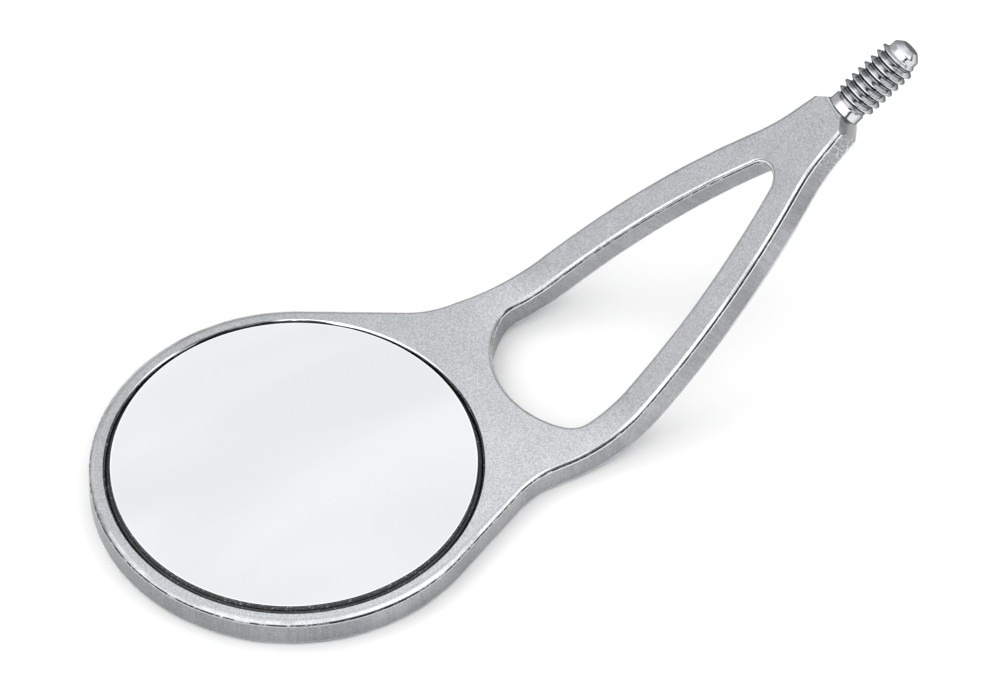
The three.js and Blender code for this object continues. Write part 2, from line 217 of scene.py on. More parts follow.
def window_half():
    side_radius = ARM_RADIUS - ARM_WIDTH
    reach = side_radius - TIP_RADIUS
    tip_centre = Vector((ARM_CENTRE.x + math.sqrt(reach**2 - ARM_CENTRE.y**2), 0.0))
    start_centre = Vector((WINDOW_START + START_RADIUS, 0.0))
    corner_centre = upper_crossing(
        start_centre,
        START_RADIUS - CORNER_RADIUS,
        ARM_CENTRE,
        side_radius - CORNER_RADIUS,
    )
    side_from = heading(ARM_CENTRE, tip_centre)
    side_to = heading(ARM_CENTRE, corner_centre)
    corner_to = heading(start_centre, corner_centre)
    tip = arc(tip_centre, TIP_RADIUS, 0, side_from, SMALL_STEP)
    side = arc(ARM_CENTRE, side_radius, side_from, side_to, ARM_STEP)
    corner = arc(corner_centre, CORNER_RADIUS, side_to, corner_to, SMALL_STEP)
    start = arc(start_centre, START_RADIUS, corner_to, math.pi, SMALL_STEP / 2)
    return tip + side[1:] + corner[1:] + start[1:]


def both_sides(half):
    lower = [Vector((p.x, -p.y)) for p in reversed(half) if abs(p.y) > MERGE]
    return half + lower


def outward_normals(loop):
    """Normals to the right of the way round, as long as each corner's mitre needs."""
    normals = []
    for i, point in enumerate(loop):
        before = (point - loop[i - 1]).normalized()
        after = (loop[(i + 1) % len(loop)] - point).normalized()
        a = Vector((before.y, -before.x))
        b = Vector((after.y, -after.x))
        mean = (a + b).normalized()
        normals.append(mean / max(0.5, mean.dot(a)))
    return normals


# ---- Mesh helpers --------------------------------------------------------------------
def new_object(name, bm, materials):
    mesh = bpy.data.meshes.new(name)
    bm.to_mesh(mesh)
    bm.free()
    for material in materials:
        mesh.materials.append(material)
    piece = bpy.data.objects.new(name, mesh)
    bpy.context.scene.collection.objects.link(piece)
    return piece


def lathe_bmesh(profile, segments, place):
    """A body turned from (radius, height) pairs; a radius of exactly 0 is one point.

    place(radius, height, angle) gives the position of each point.
    """
    bm = bmesh.new()
    rings = []
    for radius, height in profile:
        if radius == 0:
            rings.append([bm.verts.new(place(0.0, height, 0.0))])
            continue
        ring = []
        for i in range(segments):
            angle = 2 * math.pi * i / segments
            ring.append(bm.verts.new(place(radius, height, angle)))
        rings.append(ring)
    for lower, upper in zip(rings, rings[1:]):
        for i in range(segments):
            j = (i + 1) % segments
            corners = [lower[i % len(lower)], lower[j % len(lower)]]
            corners += [upper[j % len(upper)], upper[i % len(upper)]]
            unique = list(dict.fromkeys(corners))
            if len(unique) > 2:
                bm.faces.new(unique)
    return bm


def upright(radius, height, angle):
    return (radius * math.cos(angle), radius * math.sin(angle), height)


def along_stem(radius, along, angle):
    return (along, -radius * math.sin(angle), AXIS_Z + radius * math.cos(angle))


def bend(point):
    """Moves a point of the flat blank to its place on the bent stem."""
    run = min(max(point.x - BEND_START, 0.0), BEND_END - BEND_START)
    if run == 0.0:
        return point
    angle = run / BEND_RADIUS
    radius = BEND_RADIUS + PLATE - point.z
    beyond = max(0.0, point.x - BEND_END)
    return Vector(
        (
            BEND_START + radius * math.sin(angle) + beyond * math.cos(angle),
            point.y,
            BEND_RADIUS + PLATE - radius * math.cos(angle) + beyond * math.sin(angle),
        )
    )


def cut_with(target, bm, name):
    cutter = new_object(name, bm, [])
    modifier = target.modifiers.new(name, "BOOLEAN")
    modifier.operation = "DIFFERENCE"
    modifier.solver = "EXACT"
    modifier.object = cutter
    graph = bpy.context.evaluated_depsgraph_get()
    mesh = bpy.data.meshes.new_from_object(target.evaluated_get(graph))
    target.modifiers.clear()
    target.data = mesh
    bpy.data.objects.remove(cutter)


# ---- Frame ---------------------------------------------------------------------------
def on_ring(point):
    """1 on the ring's outer edge, 0 on the stem, and a smooth change between them."""
    if point.length < RING_RADIUS - 0.1:
        return 0.0
    share = (CROWN_END_X - point.x) / (CROWN_END_X - CROWN_FULL_X)
    share = min(1.0, max(0.0, share))
    return share * share * (3 - 2 * share)


def flat_plate():
    """The plate with its hole and every edge rounded."""
    bm = bmesh.new()
    levels = []
    for k in range(ROUND_STEPS + 1):
        angle = math.pi / 2 * k / ROUND_STEPS
        inset = EDGE_ROUND * (1 - math.cos(angle))
        levels.append((inset, EDGE_ROUND * math.sin(angle)))
    upper = [(inset, PLATE - EDGE_ROUND + rise, 1.0) for inset, rise in levels]
    lower = [(inset, EDGE_ROUND - rise, 0.0) for inset, rise in reversed(levels)]
    heights = lower + upper
    rims = {0: [], -1: []}
    window = list(reversed(both_sides(window_half())))
    for loop in (both_sides(outer_half()), window):
        normals = outward_normals(loop)
        rows = []
        for inset, height, crowned in heights:
            row = []
            for point, normal in zip(loop, normals):
                widened = 1 + (CROWN - 1) * crowned * on_ring(point)
                flat = point - normal * inset * widened
                row.append(bm.verts.new((flat.x, flat.y, height)))
            rows.append(row)
        for low, high in zip(rows, rows[1:]):
            for i in range(len(loop)):
                j = (i + 1) % len(loop)
                bm.faces.new([low[i], low[j], high[j], high[i]])
        for end in rims:
            row = rows[end]
            for i in range(len(row)):
                rims[end].append(bm.edges.get([row[i], row[(i + 1) % len(row)]]))
    for end in rims:
        bmesh.ops.triangle_fill(
            bm, edges=rims[end], use_beauty=True, use_dissolve=False, normal=(0, 0, 1)
        )
    bmesh.ops.recalc_face_normals(bm, faces=bm.faces)
    return bm


# Limits on a face's normal, which tell the kinds of face apart.
FLAT_NORMAL_Z = 0.9995
WALL_NORMAL_Z = 0.02
CONE_NORMAL_X = 0.55
CONE_REACH = 1.5


def face_kind(face):
    """The kind, and so the material slot, of a face of the flat blank."""
    centre = face.calc_center_median()
    normal = face.normal
    from_axis = math.hypot(centre.y, centre.z - AXIS_Z)
    if math.hypot(centre.x, centre.y) < RECESS_RADIUS + MOUTH_CHAMFER + 0.02:
        if centre.z < RECESS_FLOOR / 2:
            return TOP
        return MOUTH if centre.z > PLATE - MOUTH_CHAMFER - 0.001 else POCKET
    in_bore = centre.x > SHANK_END - SPIGOT_LENGTH - 1
    if in_bore and from_axis < SPIGOT_RADIUS + 0.1:
        return POCKET
    if centre.x > SHANK_END - CONE_REACH and abs(normal.x) > CONE_NORMAL_X:
        return CONE
    if abs(normal.z) > FLAT_NORMAL_Z:
        return TOP
    return WALL if abs(normal.z) < WALL_NORMAL_Z else EDGE


POCKET_SHARP = math.radians(30)


def build_frame(materials):
    """The plate with its recess, turned cone and bore cut out, bent and shaded."""
    body = new_object("frame_body", flat_plate(), [])
    mouth = RECESS_RADIUS + MOUTH_CHAMFER
    recess = [
        (0, RECESS_FLOOR),
        (RECESS_RADIUS, RECESS_FLOOR),
        (RECESS_RADIUS, PLATE - MOUTH_CHAMFER),
        (mouth + 1, PLATE + 1),
        (0, PLATE + 1),
    ]
    reach = 3.0
    cone = [
        (NECK_RADIUS, SHANK_END),
        (NECK_RADIUS, SHANK_END + 1),
        (NECK_RADIUS + reach, SHANK_END + 1),
        (NECK_RADIUS + reach, SHANK_END - reach),
        (NECK_RADIUS, SHANK_END),
    ]
    bore_radius = SPIGOT_RADIUS + BORE_CLEARANCE
    bore_end = SHANK_END - SPIGOT_LENGTH - BORE_RUNOUT
    bore = [
        (0, bore_end - bore_radius / 2),
        (bore_radius, bore_end),
        (bore_radius, SHANK_END + 1),
        (0, SHANK_END + 1),
    ]
    cutters = (
        (recess, DISC_SEGMENTS, upright),
        (cone, STUD_SEGMENTS, along_stem),
        (bore, BORE_SEGMENTS, along_stem),
    )
    for i, (profile, segments, place) in enumerate(cutters):
        bm = lathe_bmesh(profile, segments, place)
        bmesh.ops.remove_doubles(bm, verts=bm.verts, dist=TINY)
        bmesh.ops.recalc_face_normals(bm, faces=bm.faces)
        cut_with(body, bm, f"cutter_{i}")

    bm = bmesh.new()
    bm.from_mesh(body.data)
    bmesh.ops.remove_doubles(bm, verts=bm.verts, dist=MERGE)
    for i in range(BEND_CUTS + 1):
        x = BEND_START + (BEND_END - BEND_START) * i / BEND_CUTS
        bmesh.ops.bisect_plane(
            bm,
            geom=bm.verts[:] + bm.edges[:] + bm.faces[:],
            dist=MERGE,
            plane_co=(x, 0, 0),
            plane_no=(1, 0, 0),
        )
    bmesh.ops.triangulate(bm, faces=[f for f in bm.faces if len(f.verts) > 4])
    bmesh.ops.recalc_face_normals(bm, faces=bm.faces)
    bm.normal_update()
    for face in bm.faces:
        face.material_index = face_kind(face)
        face.smooth = True
    soft = {frozenset((TOP, EDGE)), frozenset((WALL, EDGE))}
    for edge in bm.edges:
        kinds = {face.material_index for face in edge.link_faces}
        sharp = len(kinds) == 2 and frozenset(kinds) not in soft
        if kinds == {POCKET} or kinds == {TOP}:
            sharp = edge.calc_face_angle(0) > POCKET_SHARP
        edge.smooth = not sharp

    flat = bm.verts.layers.float_vector.new("flat")
    turn = bm.verts.layers.float.new("turn")
    for vertex in bm.verts:
        vertex[flat] = vertex.co * MM
        rise = (vertex.co.z - PLATE + EDGE_ROUND) / EDGE_ROUND
        drop = (EDGE_ROUND - vertex.co.z) / EDGE_ROUND
        vertex[turn] = math.asin(min(1.0, max(0.0, rise, drop))) / (math.pi / 2)
    for vertex in bm.verts:
        vertex.co = bend(vertex.co) * MM
    bm.normal_update()
    mesh = body.data
    mesh.materials.clear()  # before the faces go in: clearing resets their slots
    bm.to_mesh(mesh)
    bm.free()
    for material in materials:
        mesh.materials.append(material)
    weighted = body.modifiers.new("normals", "WEIGHTED_NORMAL")
    weighted.keep_sharp = True
    weighted.weight = 50
    return body


# ---- Stud ----------------------------------------------------------------------------
THREAD_START = SHANK_END + GAP + NECK_LENGTH
THREAD_END = THREAD_START + TURNS * PITCH
TIP_END = THREAD_END + TIP_LENGTH
NECK_START = SHANK_END - NECK_SINK
NECK_FALL = NECK_RADIUS - ROOT_RADIUS
TIP_POWER = 1.25  # above 1, the chamfer starts softly
STUD_SHARP = math.radians(38)
ROOT_SHARE = 1 / 8  # of one pitch, as is the flat on the crest
FLANK_SHARE = 3 / 8
SURFACE = -1.0  # in a profile: take the radius from stud_radius


def ridge(phase):
    """Height of the thread's ridge over one pitch: 0 in the root, 1 on the crest."""
    phase %= 1.0
    if phase < ROOT_SHARE:
        return 0.0
    if phase < ROOT_SHARE + FLANK_SHARE:
        return (phase - ROOT_SHARE) / FLANK_SHARE
    if phase < 1 - FLANK_SHARE:
        return 1.0
    return (1 - phase) / FLANK_SHARE


def stud_radius(along, angle):
    if along < THREAD_START:
        taper = max(0.0, along - (THREAD_START - NECK_FALL))
        foot = max(0.0, NECK_FILLET - (along - NECK_START)) / NECK_FILLET
        return NECK_RADIUS - taper + NECK_FILLET * (1 - math.sqrt(1 - foot * foot))
    if along < THREAD_END:
        inside = min(along - THREAD_START, THREAD_END - along)
        rise = min(1.0, inside / RUNOUT)
        phase = (along - THREAD_START) / PITCH - angle / (2 * math.pi)
        return ROOT_RADIUS + THREAD_DEPTH * ridge(phase) * rise
    into = max(0.0, along - (TIP_END - TIP_CHAMFER)) / TIP_CHAMFER
    return ROOT_RADIUS - TIP_CHAMFER * into**TIP_POWER


def stud_stations():
    """Where along the axis the stud's rows lie."""
    stations = []
    for k in range(FILLET_ROWS):
        angle = math.pi / 2 * k / FILLET_ROWS
        stations.append(NECK_START + NECK_FILLET * (1 - math.cos(angle)))
    stations += [NECK_START + NECK_FILLET, NECK_START + 0.3]
    stations += [THREAD_START - NECK_FALL, THREAD_START - 0.02]
    steps = TURNS * ROWS_PER_PITCH
    for i in range(steps + 1):
        stations.append(THREAD_START + (THREAD_END - THREAD_START) * i / steps)
    stations += [THREAD_END + 0.02, THREAD_END + 0.15]
    stations += [TIP_END - TIP_CHAMFER - 0.02]
    for k in range(CHAMFER_ROWS + 1):
        stations.append(TIP_END - TIP_CHAMFER * (1 - k / CHAMFER_ROWS))
    return stations


def on_stud(radius, along, angle):
    if radius == SURFACE:
        radius = stud_radius(along, angle)
    return along_stem(radius, along, angle)


def build_stud(material):
    """Spigot, neck, helical thread and tip, turned along the axis and then bent."""
    start = SHANK_END - SPIGOT_LENGTH
    profile = [
        (0.0, start),
        (SPIGOT_RADIUS - SPIGOT_CHAMFER, start),
        (SPIGOT_RADIUS, start + SPIGOT_CHAMFER),
        (SPIGOT_RADIUS, NECK_START),
    ]
    profile += [(SURFACE, along) for along in stud_stations()]
    profile += [(0.0, TIP_END)]
    bm = lathe_bmesh(profile, STUD_SEGMENTS, on_stud)
    bmesh.ops.recalc_face_normals(bm, faces=bm.faces)
    flat = bm.verts.layers.float_vector.new("flat")
    for vertex in bm.verts:
        vertex[flat] = vertex.co * MM
    for face in bm.faces:
        face.smooth = True
    for vertex in bm.verts:
        vertex.co = bend(vertex.co) * MM
    bm.normal_update()
    for edge in bm.edges:
        edge.smooth = edge.calc_face_angle(0) < STUD_SHARP
    return new_object("stud", bm, [material])


# ---- Insert --------------------------------------------------------------------------
def build_disc(name, profile, material, sharp=30):
    """A body turned round the mirror's axis; edges over sharp degrees stay sharp."""
    bm = lathe_bmesh(profile, DISC_SEGMENTS, upright)
    bmesh.ops.remove_doubles(bm, verts=bm.verts, dist=TINY)
    bmesh.ops.recalc_face_normals(bm, faces=bm.faces)
    flat = bm.verts.layers.float_vector.new("flat")
    for vertex in bm.verts:
        vertex.co = vertex.co * MM
        vertex[flat] = vertex.co
    for face in bm.faces:
        face.smooth = True
    bm.normal_update()
    for edge in bm.edges:
        edge.smooth = edge.calc_face_angle(0) < math.radians(sharp)
    return new_object(name, bm, [material])


# ---- Materials -----------------------------------------------------------------------
class Look:
    """A Principled material and short ways to add its nodes."""

    def __init__(self, name, color, metallic, roughness, **sockets):
        self.material = bpy.data.materials.new(name)
        self.material.use_nodes = True
        self.tree = self.material.node_tree
        self.shader = self.tree.nodes["Principled BSDF"]
        self.set("Base Color", (*color, 1.0))
        self.set("Metallic", metallic)
        self.set("Roughness", roughness)
        for key, value in sockets.items():
            self.set(key.replace("_", " "), value)
        flat = self.add("ShaderNodeAttribute", attribute_name="flat")
        self.flat = flat.outputs["Vector"]

    def set(self, socket, value):
        self.shader.inputs[socket].default_value = value

    def add(self, kind, inputs=None, **settings):
        node = self.tree.nodes.new(kind)
        for key, value in settings.items():
            setattr(node, key, value)
        for key, value in (inputs or {}).items():
            self.put(node.inputs[key], value)
        return node

    def put(self, socket, value):
        if isinstance(value, bpy.types.NodeSocket):
            self.tree.links.new(value, socket)
        else:
            socket.default_value = value

    def drive(self, socket, value):
        self.put(self.shader.inputs[socket], value)

    def math(self, operation, a, b=0.0, c=0.0):
        node = self.add("ShaderNodeMath", {0: a, 1: b, 2: c}, operation=operation)
        return node.outputs[0]

    def place(self, axis):
        """One of the flat blank's coordinates."""
        return self.add("ShaderNodeSeparateXYZ", {0: self.flat}).outputs[axis]

    def dot(self, axis):
        """How far along a direction of the flat blank."""
        settings = {0: self.flat, 1: axis}
        node = self.add("ShaderNodeVectorMath", settings, operation="DOT_PRODUCT")
        return node.outputs["Value"]

    def stretch(self, scale, degrees=0):
        """Coordinates for a drawn-out noise, turned in the plane of the blank."""
        turned = (0.0, 0.0, math.radians(degrees))
        settings = {"Vector": self.flat, "Rotation": turned, "Scale": scale}
        return self.add("ShaderNodeMapping", settings).outputs[0]

    def noise(self, scale, detail=2.0, rough=0.5, vector=None, distortion=0.0):
        node = self.add(
            "ShaderNodeTexNoise",
            {
                "Vector": self.flat if vector is None else vector,
                "Scale": scale,
                "Detail": detail,
                "Roughness": rough,
                "Distortion": distortion,
            },
        )
        return node.outputs["Fac"]

    def ramp(self, value, low, high, out_low=0.0, out_high=1.0):
        node = self.add(
            "ShaderNodeMapRange",
            {"Value": value, 1: low, 2: high, 3: out_low, 4: out_high},
            interpolation_type="SMOOTHSTEP",
        )
        return node.outputs["Result"]

    def band(self, value, start, full, fade, end):
        """1 between full and fade, falling to 0 at start and end."""
        rise = self.ramp(value, start, full)
        return self.math("MULTIPLY", rise, self.ramp(value, fade, end, 1.0, 0.0))

    def blend(self, share, a, b):
        """a where share is 0 and b where it is 1."""
        node = self.add("ShaderNodeMapRange", {"Value": share, 3: a, 4: b})
        return node.outputs["Result"]

    def distance_from(self, centre, axes):
        """Distance from a point or line, counting only the axes that are 1."""
        kind = "ShaderNodeVectorMath"
        away = self.add(kind, {0: self.flat, 1: centre}, operation="SUBTRACT")
        kept = self.add(kind, {0: away.outputs[0], 1: axes}, operation="MULTIPLY")
        length = self.add(kind, {0: kept.outputs[0]}, operation="LENGTH")
        return length.outputs["Value"]

    def grey(self, value, tint=(1.0, 1.0, 1.0)):
        node = self.add("ShaderNodeCombineColor")
        for i, part in enumerate(tint):
            self.put(node.inputs[i], self.math("MULTIPLY", value, part))
        return node.outputs[0]

    def bump(self, height, strength, distance):
        node = self.add(
            "ShaderNodeBump",
            {"Height": height, "Strength": strength, "Distance": distance},
        )
        self.drive("Normal", node.outputs["Normal"])


# Noise scales are per metre of the flat blank. Positions and bump depths are in metres.
# "Painted" marks an effect that only brings a tone near the photo's: it isn't known to
# be on the object.
COOL = (0.975, 1.0, 1.035)
MID_NOISE = (0.3, 0.7)  # the range that holds nearly all of a noise's values
GRAIN_SCALE = 9000.0
BLOTCH_SCALE = 420.0
SATIN_HAZE_SCALE = 900.0
SATIN_SPREAD = 0.03
SATIN_DEPTH = 0.000016
POLISH_SCALE = 1600.0
POLISH_DEPTH = 0.000010
RIM_DEPTH = 0.00001
COMPOUND_DEPTH = 0.00002


def ring_painted_light(look, value):
    """Painted light: the ring is lit brighter than the stem, most of all on its near
    side.
    """
    near = look.dot((0.3, -0.95, 0.0))
    painted_ring_tone = look.ramp(near, -0.012, 0.012, 0.86, 1.13)
    on_stem = look.ramp(look.place("X"), 0.012, 0.020)
    return look.math("MULTIPLY", value, look.blend(on_stem, painted_ring_tone, 1.0))


def wall_streaks(look, value, fine):
    """Streaks across the walls, broad patches, and coarse sparkle near the stud."""
    marks = look.noise(1.0, 4.0, 0.6, look.stretch((3800.0, 3800.0, 160.0)))
    value = look.math("MULTIPLY", value, look.ramp(marks, 0.3, 0.72, 0.92, 1.09))
    broad = look.noise(130.0, 2.0)
    value = look.math("MULTIPLY", value, look.ramp(broad, 0.35, 0.65, 0.88, 1.18))
    height = look.math("MULTIPLY_ADD", marks, 0.4, fine)
    coarse = look.ramp(look.noise(8000.0, 2.0, 0.6), 0.54, 0.62)
    near_end = look.ramp(look.place("X"), 0.0355, 0.0385)
    coarse = look.math("MULTIPLY", coarse, near_end)
    return look.math("MULTIPLY_ADD", coarse, 0.3, value), height


def painted_edge_lines(look, value):
    """Painted highlight and shade: a bright strip, a broken dark line and, on the stem,
    a second bright strip.
    """
    turn = look.add("ShaderNodeAttribute", attribute_name="turn").outputs["Fac"]
    strip = look.band(turn, 0.42, 0.50, 0.66, 0.86)
    # the painted highlight strip is broken up at random
    strip_breaks = look.ramp(look.noise(260.0, 3.0, 0.65), 0.36, 0.6, -0.1, 1.0)
    value = look.math("MULTIPLY_ADD", look.math("MULTIPLY", strip, strip_breaks), 0.3, value)
    # painted reflection of the floor: a second bright strip under the first, on the
    # stem
    under = look.ramp(turn, 0.05, 0.2, 1.0, 0.0)
    on_stem = look.ramp(look.place("X"), 0.010, 0.016)
    under = look.math("MULTIPLY", under, on_stem)
    patches = look.ramp(look.noise(90.0, 1.0), 0.42, 0.56)
    under = look.math("MULTIPLY", under, patches)
    value = look.math("MULTIPLY_ADD", under, 0.4, value)
    # painted shade: a broken dark line along the rounding
    broken = look.ramp(look.noise(2600.0, 3.0, 0.65), 0.38, 0.52)
    dark = look.math("MULTIPLY", look.band(turn, 0.14, 0.21, 0.33, 0.40), broken)
    return look.math("MULTIPLY", value, look.math("MULTIPLY_ADD", dark, -0.9, 1.0))


def shank_scuffs(look, value):
    """Light and dark scratches on the flat face, just before the stud."""
    area = look.band(look.place("X"), 0.0375, 0.0388, 0.0396, 0.0402)
    aside = look.math("ABSOLUTE", look.place("Y"))
    area = look.math("MULTIPLY", area, look.ramp(aside, 0.0006, 0.0013, 1.0, 0.0))
    slanted = look.stretch((7500.0, 1300.0, 800.0), 35)
    scratch = look.noise(1.0, 3.0, 0.6, slanted)
    light = look.math("MULTIPLY", look.ramp(scratch, 0.56, 0.66), area)
    dark = look.math("MULTIPLY", look.ramp(scratch, 0.34, 0.44, 1.0, 0.0), area)
    value = look.math("MULTIPLY_ADD", light, 0.12, value)
    return look.math("MULTIPLY_ADD", dark, -0.14, value)


def satin(name, tone, roughness, grain=0.05, relief=0.6, parts=()):
    """Bead-blasted steel; parts picks the marks that only some faces carry."""
    look = Look(name, (tone, tone, tone), 1.0, roughness)
    fine = look.noise(GRAIN_SCALE, 2.0, 0.6)
    blotch = look.noise(BLOTCH_SCALE, 3.0, 0.55)
    value = look.ramp(fine, 0.34, 0.66, tone * (1 - grain), tone * (1 + grain))
    value = look.math("MULTIPLY", value, look.ramp(blotch, *MID_NOISE, 0.975, 1.025))
    height = fine
    # painted light: brightens the ring, most of all its near side
    if "lit_ring" in parts:
        value = ring_painted_light(look, value)
    if "streaks" in parts:
        value, height = wall_streaks(look, value, fine)
    if "line" in parts:
        value = painted_edge_lines(look, value)
    if "scuffs" in parts:
        value = shank_scuffs(look, value)
    look.drive("Base Color", look.grey(value, COOL))
    haze = look.noise(SATIN_HAZE_SCALE, 2.0)
    smooth, rough = roughness - SATIN_SPREAD, roughness + SATIN_SPREAD
    look.drive("Roughness", look.ramp(haze, *MID_NOISE, smooth, rough))
    look.bump(height, relief, SATIN_DEPTH)
    return look.material


def compound_line(look, value):
    """Painted: a dark line at the foot of the mouth's chamfer, wider at the far end."""
    radius = look.distance_from((0.0, 0.0, 0.0), (1.0, 1.0, 0.0))
    # the dark line's edge wanders at random and widens towards the far end
    wobble = look.ramp(look.noise(700.0, 2.0), 0.35, 0.65, -0.00002, 0.00002)
    radius = look.math("ADD", radius, wobble)
    far = look.dot((0.26, 0.966, 0.0))
    far_widening = look.ramp(far, 0.0102, 0.0110, 0.0, 0.00006)
    radius = look.math("SUBTRACT", radius, far_widening)
    foot = (RECESS_RADIUS + 0.065) * MM
    clean = look.ramp(radius, foot - 0.00001, foot + 0.00001, 0.05, 1.0)
    return look.math("MULTIPLY", value, clean)


def dark_roots(look, value):
    """Painted: the thread's roots are darker than its crests."""
    from_axis = look.distance_from((0.0, 0.0, AXIS_Z * MM), (0.0, 1.0, 1.0))
    low, high = (ROOT_RADIUS + 0.01) * MM, (ROOT_RADIUS + 0.13) * MM
    crest = look.ramp(from_axis, low, high)
    first = SHANK_END + NECK_LENGTH + 0.1
    last = SHANK_END + NECK_LENGTH + TURNS * PITCH - 0.15
    ends = [(first - 0.1) * MM, first * MM, last * MM, (last + 0.1) * MM]
    root = look.math("SUBTRACT", 1.0, crest)
    dark = look.math("MULTIPLY", look.band(look.place("X"), *ends), root)
    return look.math("MULTIPLY", value, look.math("MULTIPLY_ADD", dark, -0.5, 1.0))


def dark_outline(look, value):
    """Painted shade: faces that are seen at a grazing angle are darker."""
    facing = look.add("ShaderNodeLayerWeight", {"Blend": 0.5}).outputs["Facing"]
    look.set("Specular Tint", (0.35, 0.35, 0.36, 1.0))
    return look.math("MULTIPLY", value, look.ramp(facing, 0.3, 0.8, 1.0, 0.38))


def polished(name, tone, roughness, relief=0.2, parts=()):
    """Turned or polished steel; parts picks the marks that only some faces carry."""
    look = Look(name, (tone, tone, tone), 1.0, roughness)
    soft = look.noise(POLISH_SCALE, 3.0, 0.6)
    value = look.ramp(soft, *MID_NOISE, tone * 0.93, tone * 1.06)
    if "compound" in parts:
        value = compound_line(look, value)
    if "grooves" in parts:
        value = dark_roots(look, value)
    if "outline" in parts:
        value = dark_outline(look, value)
    look.drive("Base Color", look.grey(value, COOL))
    smooth, rough = roughness * 0.8, roughness * 1.25
    look.drive("Roughness", look.ramp(soft, *MID_NOISE, smooth, rough))
    height = soft
    if "rings" in parts:
        lines = look.noise(1.0, 3.0, 0.6, look.stretch((22000.0, 500.0, 500.0)))
        height = look.math("MULTIPLY_ADD", lines, 0.4, soft)
    look.bump(height, relief, POLISH_DEPTH)
    return look.material


def mirror_film():
    """A front-surface film. Painted reflection: faint clouds; painted highlight: a
    brighter rim.
    """
    look = Look("mirror_film_look", (0.93, 0.94, 0.95), 1.0, 0.015)
    drawn_out = look.stretch((34.0, 105.0, 1.0), -38)
    clouds = look.noise(1.0, 2.0, 0.45, drawn_out, 0.4)
    value = look.ramp(clouds, 0.40, 0.60, 0.775, 0.83)
    radius = look.distance_from((0.0, 0.0, 0.0), (1.0, 1.0, 0.0))
    rim = look.ramp(radius, 0.01088, 0.01092)
    value = look.math("MULTIPLY_ADD", rim, 0.16, value)
    look.drive("Base Color", look.grey(value, (0.978, 1.0, 1.018)))
    haze = look.noise(2400.0, 2.0)
    look.drive("Roughness", look.ramp(haze, 0.35, 0.65, 0.01, 0.03))
    return look.material


def sealing_compound():
    tone = (0.05, 0.053, 0.057)
    look = Look("sealing_compound", tone, 0.0, 0.38, Specular_IOR_Level=0.5)
    specks = look.noise(6500.0, 2.0, 0.6)
    patch = look.noise(500.0, 2.0)
    base = look.ramp(patch, *MID_NOISE, 0.025, 0.05)
    sparkle = look.math("MULTIPLY", look.ramp(specks, 0.62, 0.72), 0.3)
    value = look.math("ADD", base, sparkle)
    look.drive("Base Color", look.grey(value, (0.97, 1.0, 1.03)))
    look.drive("Roughness", look.ramp(specks, 0.4, 0.7, 0.45, 0.2))
    look.bump(specks, 0.6, COMPOUND_DEPTH)
    return look.material


def glass_edge():
    """A ground edge with dust, with painted shade above and below its middle."""
    tone = (0.07, 0.075, 0.08)
    look = Look("glass_edge", tone, 0.0, 0.5, Specular_IOR_Level=0.25)
    ground = look.noise(6000.0, 2.0, 0.6)
    dust = look.math("MULTIPLY", look.ramp(ground, 0.58, 0.7), 0.3)
    base = look.ramp(ground, *MID_NOISE, 0.075, 0.14)
    middle = look.band(look.place("Z"), 0.00172, 0.00178, 0.00204, 0.00208)
    shade = look.blend(middle, 0.25, 1.0)
    value = look.math("MULTIPLY", look.math("ADD", base, dust), shade)
    look.drive("Base Color", look.grey(value, (0.95, 1.0, 1.05)))
    look.drive("Roughness", look.ramp(ground, *MID_NOISE, 0.4, 0.6))
    look.bump(ground, 0.3, RIM_DEPTH)
    return look.material


def adhesive():
    look = Look("adhesive", (0.45, 0.42, 0.34), 0.0, 0.6)
    lumps = look.noise(900.0, 3.0)
    value = look.ramp(lumps, *MID_NOISE, 0.38, 0.46)
    look.drive("Base Color", look.grey(value, (1.0, 0.94, 0.78)))
    look.bump(lumps, 0.3, COMPOUND_DEPTH)
    return look.material


# ---- The pieces ----------------------------------------------------------------------
frame_looks = [
    satin("satin_face", 0.57, 0.38, grain=0.16, parts=("lit_ring", "scuffs")),
    satin("satin_edge", 0.50, 0.17, grain=0.12, relief=0.35, parts=("line",)),
    # the walls are the same steel as the face, given a darker tone as painted shade
    satin("satin_wall_shaded", 0.34, 0.30, grain=0.16, parts=("streaks",)),
    polished("polished_mouth", 0.85, 0.07, parts=("compound",)),
    satin("satin_pocket", 0.32, 0.45),
    polished("turned_cone", 0.33, 0.26, parts=("rings",)),
]
frame_body = build_frame(frame_looks)
stud_parts = ("rings", "grooves", "outline")
stud = build_stud(polished("bright_turned", 0.66, 0.07, 0.9, parts=stud_parts))

glass_flat = GLASS_RADIUS - GLASS_BEVEL
glass = build_disc(
    "glass_disc",
    [
        (0, GLASS_BOTTOM),
        (glass_flat, GLASS_BOTTOM),
        (GLASS_RADIUS, GLASS_BOTTOM + GLASS_BEVEL),
        (GLASS_RADIUS, GLASS_TOP - GLASS_BEVEL),
        (glass_flat, GLASS_TOP),
        (0, GLASS_TOP),
    ],
    glass_edge(),
)
film = build_disc(
    "mirror_face",
    [
        (0, coat_low.z / MM),
        (glass_flat, coat_low.z / MM),
        (glass_flat, FACE_Z - FILM_ROUND),
        (glass_flat - FILM_ROUND, FACE_Z),
        (0, FACE_Z),
    ],
    mirror_film(),
    sharp=20,
)
seal_inner = GLASS_RADIUS + GAP
seal_outer = RECESS_RADIUS - GAP
seal_top = PLATE - SEAL_RECESS - MOUTH_CHAMFER / 2
seal_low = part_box("edge_seal")[0].z / MM
seal_profile = [(seal_inner, seal_low), (seal_outer, seal_low)]
for k in range(SEAL_ROWS + 1):
    share = k / SEAL_ROWS
    sag = SEAL_DISH * math.sin(math.pi * share)
    radius = seal_outer + (seal_inner - seal_outer) * share
    seal_profile.append((radius, seal_top - sag))
seal_profile.append((seal_inner, seal_low))
seal = build_disc("seal_ring", seal_profile, sealing_compound(), sharp=50)

